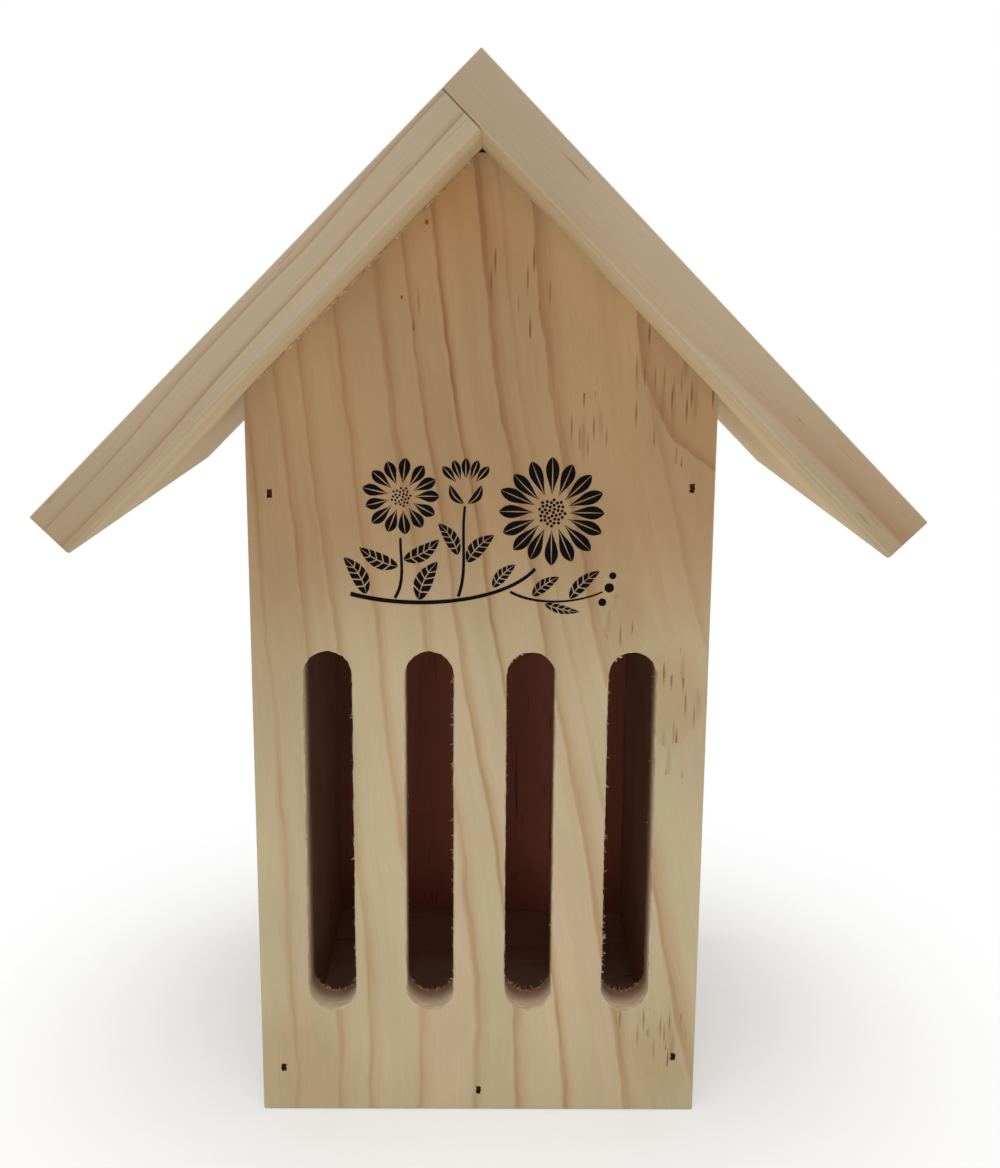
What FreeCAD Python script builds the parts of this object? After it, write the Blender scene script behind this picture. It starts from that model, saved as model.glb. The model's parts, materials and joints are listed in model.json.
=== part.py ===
import FreeCAD, Part
import math
import os
import Sketcher
from FreeCAD import Rotation, Vector

# Butterfly house: a nailed pine box with four routed entry slots under a steep lapped roof.
# Millimetres. X runs from left to right, Y from the front to the wall behind, Z upwards.
# The origin lies on the ground, under the middle of the roof.

doc = FreeCAD.newDocument("ButterflyHouse")

# Driving dimensions, one sheet row each
SIZES = {
    "house_width": 112,            # front and back panels, edge to edge
    "body_depth": 110,             # front face of the front panel to the wall
    "wall_height": 186.2,          # ground to the shoulders of the gable
    "roof_pitch": 45,              # degrees from level, the same on both slopes
    "apex_flat": 1.8,              # blunted tip of the gable panels
    "front_thick": 11,
    "back_thick": 11,
    "side_thick": 11,
    "floor_thick": 11,
    "roof_thick": 11,
    "front_overhang": 48,          # roof in front of the front panel
    "eave_overhang": 29.5,         # lower roof edge beyond the wall, level
    "slot_count": 4,
    "slot_width": 12,
    "slot_length": 95.2,           # over the round ends
    "slot_bottom": 28.3,           # ground to the lowest point of a slot
    "slot_margin": 12.5,           # panel edge to the nearest slot
    "keyhole_drop": 52,            # apex to the centre of the round entry
    "keyhole_head": 9,             # diameter that a screw head passes
    "keyhole_neck": 4.6,           # width that the screw's shank slides up
    "keyhole_rise": 10,            # centre of the entry to the centre of the neck's end
    "brad_length": 25,
    "brad_wire": 1.2,              # thickness of the flat wire
    "brad_shank": 1.25,            # width of the shank
    "brad_head": 2,                # width of the head
    "brad_head_depth": 1,
    "brad_point": 2,               # length of the chisel point
    "brad_set": 0.8,               # head below the surface
    "upper_left_drop": 23.8,       # shoulder down to each upper brad
    "upper_right_drop": 22,
    "lower_left_rise": 11.8,       # ground up to each lower brad
    "lower_right_rise": 15.1,
    "gable_brad_inset": 22,        # along the slope, from the apex and from the shoulder
    "ridge_brad_inset": 20,        # from the front and back ends of the ridge
    "floor_brad_inset": 16,        # from the inner faces of the front and back panels
}

sheet = doc.addObject("Spreadsheet::Sheet", "Sizes")
for row, (alias, value) in enumerate(SIZES.items(), start=1):
    sheet.set(f"A{row}", alias)
    sheet.set(f"B{row}", str(value))
    sheet.setAlias(f"B{row}", alias)
doc.recompute()

# Derived places, as expressions on the sheet
HALF_WIDTH = "(Sizes.house_width / 2)"
INNER_HALF = f"({HALF_WIDTH} - Sizes.side_thick)"
SIDE_MIDDLE = f"({HALF_WIDTH} - Sizes.side_thick / 2)"
APEX = f"(Sizes.wall_height + {HALF_WIDTH} * tan(Sizes.roof_pitch))"
INNER_SHOULDER = "(Sizes.wall_height + Sizes.side_thick * tan(Sizes.roof_pitch))"
ROOF_DEPTH = "(Sizes.front_overhang + Sizes.body_depth)"
ROOF_FRONT = f"(-{ROOF_DEPTH} / 2)"
FRONT_FACE = f"({ROOF_FRONT} + Sizes.front_overhang)"
FRONT_INSIDE = f"({FRONT_FACE} + Sizes.front_thick)"
FRONT_MIDDLE = f"({FRONT_FACE} + Sizes.front_thick / 2)"
WALL_FACE = f"({ROOF_DEPTH} / 2)"
BACK_INSIDE = f"({WALL_FACE} - Sizes.back_thick)"
BACK_MIDDLE = f"({WALL_FACE} - Sizes.back_thick / 2)"
INNER_DEPTH = "(Sizes.body_depth - Sizes.front_thick - Sizes.back_thick)"
RIDGE = f"({APEX} + Sizes.roof_thick / cos(Sizes.roof_pitch))"
EAVE_IN_X = f"({HALF_WIDTH} + Sizes.eave_overhang)"
EAVE_IN_Z = f"({APEX} - {EAVE_IN_X} * tan(Sizes.roof_pitch))"
EAVE_OUT_X = f"({EAVE_IN_X} + Sizes.roof_thick * sin(Sizes.roof_pitch))"
EAVE_OUT_Z = f"({EAVE_IN_Z} + Sizes.roof_thick * cos(Sizes.roof_pitch))"
LAP_X = "(Sizes.roof_thick / (2 * sin(Sizes.roof_pitch)))"
LAP_Z = f"({APEX} + Sizes.roof_thick / (2 * cos(Sizes.roof_pitch)))"
GABLE_EDGE = f"({HALF_WIDTH} / cos(Sizes.roof_pitch))"

PUNCH_CLEAR = 1.0                  # how far a brad's punched hole is cut out past the surface


def number(expression):
    """The present value of an expression on the sheet."""
    value = sheet.evalExpression(expression)
    return float(getattr(value, "Value", value))


def plane_sketch(body, name, role, offset):
    """An empty sketch on one of the body's own origin planes, moved along its normal."""
    sketch = body.newObject("Sketcher::SketchObject", name)
    plane = next(f for f in body.Origin.OriginFeatures if f.Role == role)
    sketch.AttachmentSupport = [(plane, "")]
    sketch.MapMode = "FlatFace"
    sketch.setExpression("AttachmentOffset.Base.z", offset)
    return sketch


def upright_sketch(body, name, depth):
    """A sketch that faces the front, at the depth given; its axes are X and Z."""
    return plane_sketch(body, name, "XZ_Plane", f"-{depth}")


def bind(sketch, kind, where, expression):
    """A dimension of a sketch, bound to the sheet."""
    index = sketch.addConstraint(Sketcher.Constraint(kind, *where, number(expression)))
    sketch.setExpression(f"Constraints[{index}]", expression)


def place_point(sketch, geometry, point, across, up):
    """Fixes one point of a sketch by its distances from the origin."""
    bind(sketch, "DistanceX", (-1, 1, geometry, point), across)
    bind(sketch, "DistanceY", (-1, 1, geometry, point), up)


def draw_polygon(sketch, corners):
    """A closed outline of straight edges through corners given as expressions."""
    points = [Vector(number(across), number(up), 0) for across, up in corners]
    count = len(points)
    for index in range(count):
        sketch.addGeometry(Part.LineSegment(points[index], points[(index + 1) % count]))
    for index in range(count):
        sketch.addConstraint(Sketcher.Constraint("Coincident", index, 2, (index + 1) % count, 1))
    for index, (across, up) in enumerate(corners):
        place_point(sketch, index, 1, across, up)


def draw_slot(sketch, across, low, high, width):
    """An upright slot with round ends, between the centres of its two arcs."""
    middle = number(across)
    bottom = Vector(middle, number(low), 0)
    top = Vector(middle, number(high), 0)
    radius = number(width) / 2
    left = Vector(-radius, 0, 0)
    right = Vector(radius, 0, 0)
    axis = Vector(0, 0, 1)
    sketch.addGeometry(Part.ArcOfCircle(Part.Circle(top, axis, radius), 0, math.pi))
    sketch.addGeometry(Part.LineSegment(top + left, bottom + left))
    sketch.addGeometry(Part.ArcOfCircle(Part.Circle(bottom, axis, radius), math.pi, 2 * math.pi))
    sketch.addGeometry(Part.LineSegment(bottom + right, top + right))
    for first in range(4):
        sketch.addConstraint(Sketcher.Constraint("Tangent", first, 2, (first + 1) % 4, 1))
    sketch.addConstraint(Sketcher.Constraint("Vertical", 1))
    place_point(sketch, 0, 3, across, high)
    bind(sketch, "DistanceY", (-1, 1, 2, 3), low)
    bind(sketch, "Radius", (0,), f"{width} / 2")


def pad_back(body, sketch, length):
    """Thickness given to a front-facing outline, towards the back."""
    pad = body.newObject("PartDesign::Pad", "Thickness")
    pad.Profile = sketch
    pad.Reversed = True
    pad.setExpression("Length", length)
    doc.recompute()
    return pad


def pocket_back(body, sketch, length):
    """A cut from a front-facing outline towards the back, which has to take wood away."""
    before = body.Shape.Volume
    pocket = body.newObject("PartDesign::Pocket", "Cut")
    pocket.Profile = sketch
    pocket.setExpression("Length", length)
    doc.recompute()
    if body.Shape.Volume >= before:
        raise RuntimeError(f"{sketch.Name} cuts nothing")
    return pocket


def board(name, depth, thickness, corners):
    """A board as a body: an outline seen from the front, and its extent in Y."""
    body = doc.addObject("PartDesign::Body", name)
    outline = upright_sketch(body, name + "Outline", depth)
    draw_polygon(outline, corners)
    doc.recompute()
    pad_back(body, outline, thickness)
    return body


def gable_corners():
    """Outline of the front and back panels: a box under a blunt-tipped gable."""
    flat = "(Sizes.apex_flat / 2)"
    tip = f"({APEX} - {flat} * tan(Sizes.roof_pitch))"
    return [
        (f"-{HALF_WIDTH}", "0"),
        (HALF_WIDTH, "0"),
        (HALF_WIDTH, "Sizes.wall_height"),
        (flat, tip),
        (f"-{flat}", tip),
        (f"-{HALF_WIDTH}", "Sizes.wall_height"),
    ]


def front_blank():
    """Front panel with its row of entry slots, spread evenly between the panel's margins."""
    body = board("FrontBlank", FRONT_FACE, "Sizes.front_thick", gable_corners())
    reach = f"({HALF_WIDTH} - Sizes.slot_margin - Sizes.slot_width / 2)"
    low = "(Sizes.slot_bottom + Sizes.slot_width / 2)"
    high = "(Sizes.slot_bottom + Sizes.slot_length - Sizes.slot_width / 2)"
    outline = upright_sketch(body, "EntrySlot", FRONT_FACE)
    draw_slot(outline, f"-{reach}", low, high, "Sizes.slot_width")
    doc.recompute()
    first_slot = pocket_back(body, outline, "Sizes.front_thick")
    row_of_slots = body.newObject("PartDesign::LinearPattern", "EntrySlots")
    row_of_slots.Originals = [first_slot]
    row_of_slots.Direction = (outline, ["H_Axis"])
    row_of_slots.setExpression("Length", f"2 * {reach}")
    row_of_slots.setExpression("Occurrences", "Sizes.slot_count")
    body.Tip = row_of_slots
    return body


def back_blank():
    """Back panel with a keyhole: a round entry for a screw head and a narrow neck above it."""
    body = board("BackBlank", BACK_INSIDE, "Sizes.back_thick", gable_corners())
    entry_height = f"({APEX} - Sizes.keyhole_drop)"
    neck_height = f"({entry_height} + Sizes.keyhole_rise)"
    entry = upright_sketch(body, "KeyholeEntry", BACK_INSIDE)
    radius = number("Sizes.keyhole_head / 2")
    centre = Vector(0, number(entry_height), 0)
    entry.addGeometry(Part.Circle(centre, Vector(0, 0, 1), radius))
    place_point(entry, 0, 3, "0", entry_height)
    bind(entry, "Radius", (0,), "Sizes.keyhole_head / 2")
    doc.recompute()
    pocket_back(body, entry, "Sizes.back_thick")
    neck = upright_sketch(body, "KeyholeNeck", BACK_INSIDE)
    draw_slot(neck, "0", entry_height, neck_height, "Sizes.keyhole_neck")
    doc.recompute()
    pocket_back(body, neck, "Sizes.back_thick")
    return body


def side_blank(name, sign):
    """Side panel between front and back, its top bevelled to lie under the roof board."""
    corners = [
        (f"{sign}{INNER_HALF}", "0"),
        (f"{sign}{HALF_WIDTH}", "0"),
        (f"{sign}{HALF_WIDTH}", "Sizes.wall_height"),
        (f"{sign}{INNER_HALF}", INNER_SHOULDER),
    ]
    return board(name, FRONT_INSIDE, INNER_DEPTH, corners)


def floor_blank():
    """Floor between the four walls, flush with their lower edges."""
    corners = [
        (f"-{INNER_HALF}", "0"),
        (INNER_HALF, "0"),
        (INNER_HALF, "Sizes.floor_thick"),
        (f"-{INNER_HALF}", "Sizes.floor_thick"),
    ]
    return board("FloorBlank", FRONT_INSIDE, INNER_DEPTH, corners)


def right_roof_blank():
    """Right roof board, which runs up over the end of the left one to the ridge."""
    corners = [
        ("0", RIDGE),
        (EAVE_OUT_X, EAVE_OUT_Z),
        (EAVE_IN_X, EAVE_IN_Z),
        (f"-{LAP_X}", LAP_Z),
    ]
    return board("RightRoofBlank", ROOF_FRONT, ROOF_DEPTH, corners)


def left_roof_blank():
    """Left roof board, whose upper end butts against the underside of the right one."""
    corners = [
        (f"-{LAP_X}", LAP_Z),
        (f"-{EAVE_OUT_X}", EAVE_OUT_Z),
        (f"-{EAVE_IN_X}", EAVE_IN_Z),
        ("0", APEX),
    ]
    return board("LeftRoofBlank", ROOF_FRONT, ROOF_DEPTH, corners)


def brad_body(name, top):
    """A flat-wire brad below a surface at height 0, pointing down: a T with a chisel point."""
    body = doc.addObject("PartDesign::Body", name)
    outline = plane_sketch(body, name + "Outline", "YZ_Plane", "-Sizes.brad_wire / 2")
    head = "(Sizes.brad_head / 2)"
    shank = "(Sizes.brad_shank / 2)"
    neck = "(-Sizes.brad_set - Sizes.brad_head_depth)"
    tip = "(-Sizes.brad_set - Sizes.brad_length)"
    shoulder = f"({tip} + Sizes.brad_point)"
    draw_polygon(outline, [
        (f"-{head}", top),
        (f"-{head}", neck),
        (f"-{shank}", neck),
        (f"-{shank}", shoulder),
        ("0", tip),
        (shank, shoulder),
        (shank, neck),
        (head, neck),
        (head, top),
    ])
    doc.recompute()
    wire = body.newObject("PartDesign::Pad", "Wire")
    wire.Profile = outline
    wire.setExpression("Length", "Sizes.brad_wire")
    doc.recompute()
    return body


def link_row(name, master, axis, angle, seats):
    """One linked copy of a master at each seat, turned so that its head faces out."""
    copies = []
    for index, seat in enumerate(seats, start=1):
        copy = doc.addObject("App::Link", f"{name}{index}")
        copy.LinkedObject = master
        copy.Placement.Rotation = Rotation(axis, number(angle))
        copy.setExpression("Placement.Rotation.Angle", angle)
        for letter, place in zip("xyz", seat):
            copy.setExpression(f"Placement.Base.{letter}", place)
        copies.append(copy)
    group = doc.addObject("Part::Compound", name)
    group.Links = copies
    return group


def panel_seats(face):
    """Five brads of the front or back panel: two to each side panel and one to the floor."""
    return [
        (f"-{SIDE_MIDDLE}", face, "Sizes.wall_height - Sizes.upper_left_drop"),
        (SIDE_MIDDLE, face, "Sizes.wall_height - Sizes.upper_right_drop"),
        (f"-{SIDE_MIDDLE}", face, "Sizes.lower_left_rise"),
        (SIDE_MIDDLE, face, "Sizes.lower_right_rise"),
        ("0", face, "Sizes.floor_thick / 2"),
    ]


def gable_seats(sign):
    """Four brads of a roof board, above the middles of the two gable edges."""
    seats = []
    for depth in (FRONT_MIDDLE, BACK_MIDDLE):
        for run in ("Sizes.gable_brad_inset", f"({GABLE_EDGE} - Sizes.gable_brad_inset)"):
            under_x = f"{run} * cos(Sizes.roof_pitch)"
            under_z = f"{APEX} - {run} * sin(Sizes.roof_pitch)"
            across = f"{sign}({under_x} + Sizes.roof_thick * sin(Sizes.roof_pitch))"
            up = f"{under_z} + Sizes.roof_thick * cos(Sizes.roof_pitch)"
            seats.append((across, depth, up))
    return seats


def ridge_seats():
    """Three brads of the lap joint, over the middle of the left board's end."""
    run = "(Sizes.roof_thick / 2)"
    across = f"{run} * cos(Sizes.roof_pitch)"
    up = f"{RIDGE} - {run} * sin(Sizes.roof_pitch)"
    return [
        (across, f"{ROOF_FRONT} + Sizes.ridge_brad_inset", up),
        (across, "0", up),
        (across, f"{WALL_FACE} - Sizes.ridge_brad_inset", up),
    ]


def floor_seats(sign):
    """Two brads of a side panel, level with the middle of the floor."""
    return [
        (f"{sign}{HALF_WIDTH}", f"{FRONT_INSIDE} + Sizes.floor_brad_inset", "Sizes.floor_thick / 2"),
        (f"{sign}{HALF_WIDTH}", f"{BACK_INSIDE} - Sizes.floor_brad_inset", "Sizes.floor_thick / 2"),
    ]


# Brads and the holes that they punch
brad = brad_body("Brad", "-Sizes.brad_set")
punch = brad_body("Punch", f"{PUNCH_CLEAR}")
ACROSS = Vector(1, 0, 0)
ALONG = Vector(0, 1, 0)
BRAD_ROWS = {
    "front_brads": (ACROSS, "90", panel_seats(FRONT_FACE)),
    "back_brads": (ACROSS, "-90", panel_seats(WALL_FACE)),
    "left_roof_brads": (ALONG, "-Sizes.roof_pitch", gable_seats("-")),
    "right_roof_brads": (ALONG, "Sizes.roof_pitch", gable_seats("")),
    "ridge_brads": (ALONG, "Sizes.roof_pitch", ridge_seats()),
    "left_floor_brads": (ALONG, "-90", floor_seats("-")),
    "right_floor_brads": (ALONG, "90", floor_seats("")),
}
sub_parts = []
holes = {}
for label, (axis, angle, seats) in BRAD_ROWS.items():
    sub_parts.append(link_row(label, brad, axis, angle, seats))
    holes[label] = link_row(label.replace("brads", "holes"), punch, axis, angle, seats)

# Boards, each with the brads that pass through it or end in it
BOARDS = {
    "front_panel": (front_blank(), ["front", "left_roof", "right_roof"]),
    "back_panel": (back_blank(), ["back", "left_roof", "right_roof"]),
    "left_side_panel": (side_blank("LeftSideBlank", "-"), ["front", "back", "left_floor"]),
    "right_side_panel": (side_blank("RightSideBlank", ""), ["front", "back", "right_floor"]),
    "floor_board": (floor_blank(), ["front", "back", "left_floor", "right_floor"]),
    "left_roof_board": (left_roof_blank(), ["left_roof", "ridge"]),
    "right_roof_board": (right_roof_blank(), ["right_roof", "ridge"]),
}
for label, (blank, rows) in BOARDS.items():
    drilling = doc.addObject("Part::Compound", label + "_drilling")
    drilling.Links = [holes[row + "_brads"] for row in rows]
    drilled = doc.addObject("Part::Cut", label)
    drilled.Base = blank
    drilled.Tool = drilling
    sub_parts.append(drilled)
doc.recompute()

# Every object has to be sound before anything is written
for item in doc.Objects:
    if "Invalid" in item.State or "Error" in item.State:
        raise RuntimeError(f"{item.Name} failed")
for item in sub_parts:
    if item.Shape.isNull() or not item.Shape.isValid():
        raise RuntimeError(f"{item.Label} is not a valid solid")

os.makedirs("parts", exist_ok=True)
for item in sub_parts:
    item.Shape.exportStep(f"parts/{item.Label}.step")
    print(item.Label, len(item.Shape.Solids), round(item.Shape.Volume, 1))
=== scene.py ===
# %% [markdown]
# # A butterfly house in raw pine
# The house is seven pine boards nailed with brads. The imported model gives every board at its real
# size and place. This lesson gives the boards what a drawing leaves out: eased edges, torn fibres,
# grain that differs from board to board, and a little black print.

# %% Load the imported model
import json
import math
import random

import bmesh
import bpy
from mathutils import Matrix, Vector
from mathutils.bvhtree import BVHTree
from mathutils.geometry import interpolate_bezier


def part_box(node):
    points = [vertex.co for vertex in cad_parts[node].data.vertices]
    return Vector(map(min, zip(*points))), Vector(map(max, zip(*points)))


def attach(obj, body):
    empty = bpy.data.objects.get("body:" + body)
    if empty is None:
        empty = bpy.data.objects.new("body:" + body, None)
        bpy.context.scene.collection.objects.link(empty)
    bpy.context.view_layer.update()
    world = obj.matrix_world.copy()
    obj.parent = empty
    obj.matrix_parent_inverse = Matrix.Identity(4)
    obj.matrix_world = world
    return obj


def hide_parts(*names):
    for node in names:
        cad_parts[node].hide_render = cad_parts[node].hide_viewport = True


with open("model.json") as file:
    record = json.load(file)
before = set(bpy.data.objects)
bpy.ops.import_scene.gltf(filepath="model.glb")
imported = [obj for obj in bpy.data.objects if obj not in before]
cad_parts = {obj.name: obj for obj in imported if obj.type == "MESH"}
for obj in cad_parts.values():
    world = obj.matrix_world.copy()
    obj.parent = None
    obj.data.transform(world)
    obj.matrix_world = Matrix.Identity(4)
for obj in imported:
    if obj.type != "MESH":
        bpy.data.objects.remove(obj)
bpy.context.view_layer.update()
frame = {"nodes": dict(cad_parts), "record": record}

MM = 0.001
print("nodes:", len(frame["nodes"]))

# %% [markdown]
# ## Camera
# The photograph was taken from a little above the slots, close enough for the house to narrow
# towards its foot. A real lens with no shift gives that by itself, so the camera stands where a
# fit to the house's edges put it.

# %% Camera
FRONT_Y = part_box("front_panel")[0].y
# The place across, in front of the panel and above the floor, and the turns about the axes.
CAMERA_PLACE = (1.975 * MM, FRONT_Y - 355.07 * MM, 217.04 * MM)
CAMERA_TURN = [math.radians(angle) for angle in (77.852, -0.391, -0.359)]

camera_data = bpy.data.cameras.new("photo_camera")
camera_data.sensor_fit = "VERTICAL"
camera_data.sensor_height = 36.0
camera_data.lens = 46.24
camera_data.clip_start = 0.01
camera = bpy.data.objects.new("photo_camera", camera_data)
camera.location = CAMERA_PLACE
camera.rotation_euler = CAMERA_TURN
bpy.context.collection.objects.link(camera)
bpy.context.scene.camera = camera
print("camera at", [round(value, 4) for value in camera.location])

# %% [markdown]
# ## Nodes in short calls
# Every surface here is wood, ink or wire, and each needs dozens of nodes. A small class that adds
# a node and gives back its output keeps a finish readable as a few lines of plain arithmetic.
# Colours are written as they look on a screen, from 0 to 255, and made linear for the shader.


# %% Colour helper
def linear(level):
    """One screen level from 0 to 255 as a linear share of light."""
    share = level / 255
    if share <= 0.04045:
        return share / 12.92
    return ((share + 0.055) / 1.055) ** 2.4


def tone(red, green, blue):
    """A screen colour as the shader takes it."""
    return (linear(red), linear(green), linear(blue), 1.0)


# %% Node maker
class NodeMaker:
    """Fills a node tree by calls that each add a node and give back its output."""

    def __init__(self, tree):
        self.nodes = tree.nodes
        self.links = tree.links

    def feed(self, socket, value):
        """Links an output to a socket, or sets the socket's own value."""
        if isinstance(value, bpy.types.NodeSocket):
            self.links.new(value, socket)
        else:
            socket.default_value = value

    def node(self, kind, values, **settings):
        """Adds a node, with its settings and the values of its inputs."""
        made = self.nodes.new(kind)
        for key, setting in settings.items():
            setattr(made, key, setting)
        for key, value in values.items():
            self.feed(made.inputs[key], value)
        return made

    def sum(self, operation, *values):
        """One step of arithmetic."""
        made = self.node("ShaderNodeMath", dict(enumerate(values)), operation=operation)
        return made.outputs[0]

    def times(self, first, *others):
        """The product of some values."""
        for other in others:
            first = self.sum("MULTIPLY", first, other)
        return first

    def line(self, value, slope, start):
        """A value times a slope, plus a start."""
        return self.sum("MULTIPLY_ADD", value, slope, start)

    def spread(self, value, low, high, to_low=0.0, to_high=1.0):
        """Maps a range smoothly to another, and stops at its ends."""
        values = {"Value": value, "From Min": low, "From Max": high}
        values.update({"To Min": to_low, "To Max": to_high})
        made = self.node("ShaderNodeMapRange", values, interpolation_type="SMOOTHSTEP")
        return made.outputs["Result"]

    def seen(self):
        """1 for what is seen, also in gloss or through glass, and 0 for light that falls on things."""
        path = self.node("ShaderNodeLightPath", {}).outputs
        mirrored = self.sum("MAXIMUM", path["Is Glossy Ray"], path["Is Transmission Ray"])
        return self.sum("MAXIMUM", path["Is Camera Ray"], mirrored)


# %% Finish class
class Finish(NodeMaker):
    """A material whose shader is fed by calls."""

    def __init__(self, name, specular):
        self.material = bpy.data.materials.new(name)
        self.material.use_nodes = True
        super().__init__(self.material.node_tree)
        self.shader = self.nodes["Principled BSDF"]
        self.surface("Specular IOR Level", specular)

    def surface(self, socket, value):
        """Links or sets a socket of the shader."""
        self.feed(self.shader.inputs[socket], value)

    def bumped(self, height, strength, distance):
        """Gives the surface a small relief."""
        values = {"Height": height, "Strength": strength, "Distance": distance}
        self.surface("Normal", self.node("ShaderNodeBump", values).outputs["Normal"])

    def mapped(self, vector, scale, turn=(0.0, 0.0, 0.0), shift=(0.0, 0.0, 0.0)):
        """A vector that is stretched, turned and moved, in that order."""
        values = {"Vector": vector, "Scale": scale, "Rotation": turn, "Location": shift}
        return self.node("ShaderNodeMapping", values).outputs["Vector"]

    def speckle(self, vector, scale, detail=2.0, shift=(0.0, 0.0, 0.0)):
        """Soft noise from 0 to 1, stretched by the scale."""
        place = self.mapped(vector, scale, shift=shift)
        values = {"Vector": place, "Scale": 1.0, "Detail": detail}
        return self.node("ShaderNodeTexNoise", values).outputs["Fac"]

    def ramp(self, value, stops):
        """A grey ramp through the given places and levels."""
        made = self.node("ShaderNodeValToRGB", {"Fac": value})
        points = made.color_ramp.elements
        points[0].position = stops[0][0]
        points[1].position = stops[-1][0]
        for place, _ in stops[1:-1]:
            points.new(place)
        for point, (_, level) in zip(points, stops):
            point.color = (level, level, level, 1.0)
        return made.outputs["Color"]

    def mix(self, share, first, second, mode="MIX"):
        """Two colours mixed by a share."""
        values = {0: share, 6: first, 7: second}
        made = self.node("ShaderNodeMix", values, data_type="RGBA", blend_type=mode)
        return made.outputs[2]

    def tinted(self, colour, tint):
        """A colour multiplied by a tint or a shade."""
        return self.mix(1.0, colour, tint, "MULTIPLY")

    def mark(self, name):
        """A face mark of the mesh."""
        return self.node("ShaderNodeAttribute", {}, attribute_name=name).outputs["Fac"]

    def split(self, vector):
        """The three parts of a vector."""
        return self.node("ShaderNodeSeparateXYZ", {"Vector": vector}).outputs[:]


# %% [markdown]
# ## Light
# The light is soft. A large box high in front lets the roof shade the gable, a weak one low in
# front reaches into the slots, and two small ones on the floor beside the house do what white
# cards do for a photographer: they lift the undersides of the eaves. The camera sees the world as
# white, while the light that it sends stays at a plain level.

# %% World
WORLD_LIGHT = 0.30
WHITE = (1.0, 1.0, 1.0, 1.0)

scene = bpy.context.scene
scene.view_settings.view_transform = "Standard"
world = bpy.data.worlds.new("studio")
world.use_nodes = True
scene.world = world
studio = NodeMaker(world.node_tree)
studio.nodes.clear()
strength = studio.spread(studio.seen(), 0.0, 1.0, WORLD_LIGHT, 1.0)
background = studio.node("ShaderNodeBackground", {"Color": WHITE, "Strength": strength})
studio.node("ShaderNodeOutputWorld", {"Surface": background.outputs["Background"]})
print("world light:", WORLD_LIGHT)

# %% Lamps
HOUSE_MIDDLE = Vector((0.0, FRONT_Y, 0.13))
OPEN_BEAM = 180.0
# The white cards: place in depth, height and height of their aim in m, size, and beam in degrees.
CARD_Y = FRONT_Y + 0.045
CARD_Z = 0.004
CARD_AIM_Z = 0.2
CARD_SIZE = 0.10
CARD_BEAM = 80.0
# Name, place across and watts of each card.
CARDS = (("left_card", -0.115, 0.028), ("right_card", 0.115, 0.04))


def soft_box(name, place, aim, size, watts, beam=OPEN_BEAM):
    """A square lamp that stands at a place, faces its aim and stays out of the picture."""
    data = bpy.data.lights.new(name, "AREA")
    data.size = size
    data.energy = watts
    data.spread = math.radians(beam)
    lamp = bpy.data.objects.new(name, data)
    lamp.location = place
    lamp.rotation_euler = (Vector(place) - Vector(aim)).to_track_quat("Z", "Y").to_euler()
    lamp.visible_camera = False
    bpy.context.collection.objects.link(lamp)


# Place, aim, size in m and watts of the two large boxes.
soft_box("key_box", (-0.06, -0.57, 2.67), HOUSE_MIDDLE, 1.8, 62.0)
soft_box("front_fill", (0.1, -2.1, 0.25), HOUSE_MIDDLE, 0.8, 10.5)
for name, across, watts in CARDS:
    soft_box(name, (across, CARD_Y, CARD_Z), (across, CARD_Y, CARD_AIM_Z), CARD_SIZE, watts, CARD_BEAM)
print("cards:", len(CARDS))

# %% [markdown]
# ## Floor
# A plain pale floor keeps the shadow at the foot of the house. It fades out in the distance, so
# that the eye finds no horizon.

# %% Floor
FLOOR_SIZE = 4.0
# Distances in m from the middle over which the seen floor fades out, from a share near it.
FLOOR_FADE = (0.07, 0.22)
FLOOR_SHARE = 0.6
FLOOR_Z = -0.0002
FLOOR_PALE = (0.95, 0.95, 0.95, 1.0)

floor_form = bmesh.new()
bmesh.ops.create_grid(floor_form, x_segments=1, y_segments=1, size=FLOOR_SIZE / 2)
bmesh.ops.translate(floor_form, verts=floor_form.verts, vec=(0.0, 0.0, FLOOR_Z))
floor_mesh = bpy.data.meshes.new("floor")
floor_form.to_mesh(floor_mesh)
floor_form.free()
floor = bpy.data.objects.new("floor", floor_mesh)
bpy.context.collection.objects.link(floor)

floor_paint = Finish("floor_paint", 0.0)
floor_paint.surface("Roughness", 0.9)
floor_paint.surface("Base Color", FLOOR_PALE)
floor_spot = floor_paint.node("ShaderNodeTexCoord", {}).outputs["Object"]
floor_reach = floor_paint.node("ShaderNodeVectorMath", {0: floor_spot}, operation="LENGTH")
floor_near = floor_paint.spread(floor_reach.outputs["Value"], *FLOOR_FADE, FLOOR_SHARE, 0.0)
floor_unseen = floor_paint.sum("SUBTRACT", 1.0, floor_paint.seen())
floor_paint.surface("Alpha", floor_paint.sum("MAXIMUM", floor_near, floor_unseen))
floor_mesh.materials.append(floor_paint.material)
print("floor", FLOOR_SIZE, "m across")

# %% [markdown]
# ## Eased boards
# A planed board never keeps a knife edge: hands and sandpaper ease it. Each board starts as a
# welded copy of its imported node, so that its size and place can't drift, and only its outer edges
# are bevelled, those that meet another board hardly at all. Faces that don't lie on the board's
# outer hull are cuts, and are marked as routed slots or punched holes for the finishes.

# %% Boards and how they lie
DIAGONAL = math.sqrt(0.5)
DOWNWARD = -DIAGONAL / 2
UP = Vector((0.0, 0.0, 1.0))
GRAIN = {
    "front_panel": UP,
    "back_panel": UP,
    "left_side_panel": UP,
    "right_side_panel": UP,
    "floor_board": Vector((1.0, 0.0, 0.0)),
    "left_roof_board": Vector((-DIAGONAL, 0.0, -DIAGONAL)),
    "right_roof_board": Vector((DIAGONAL, 0.0, -DIAGONAL)),
}
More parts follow.
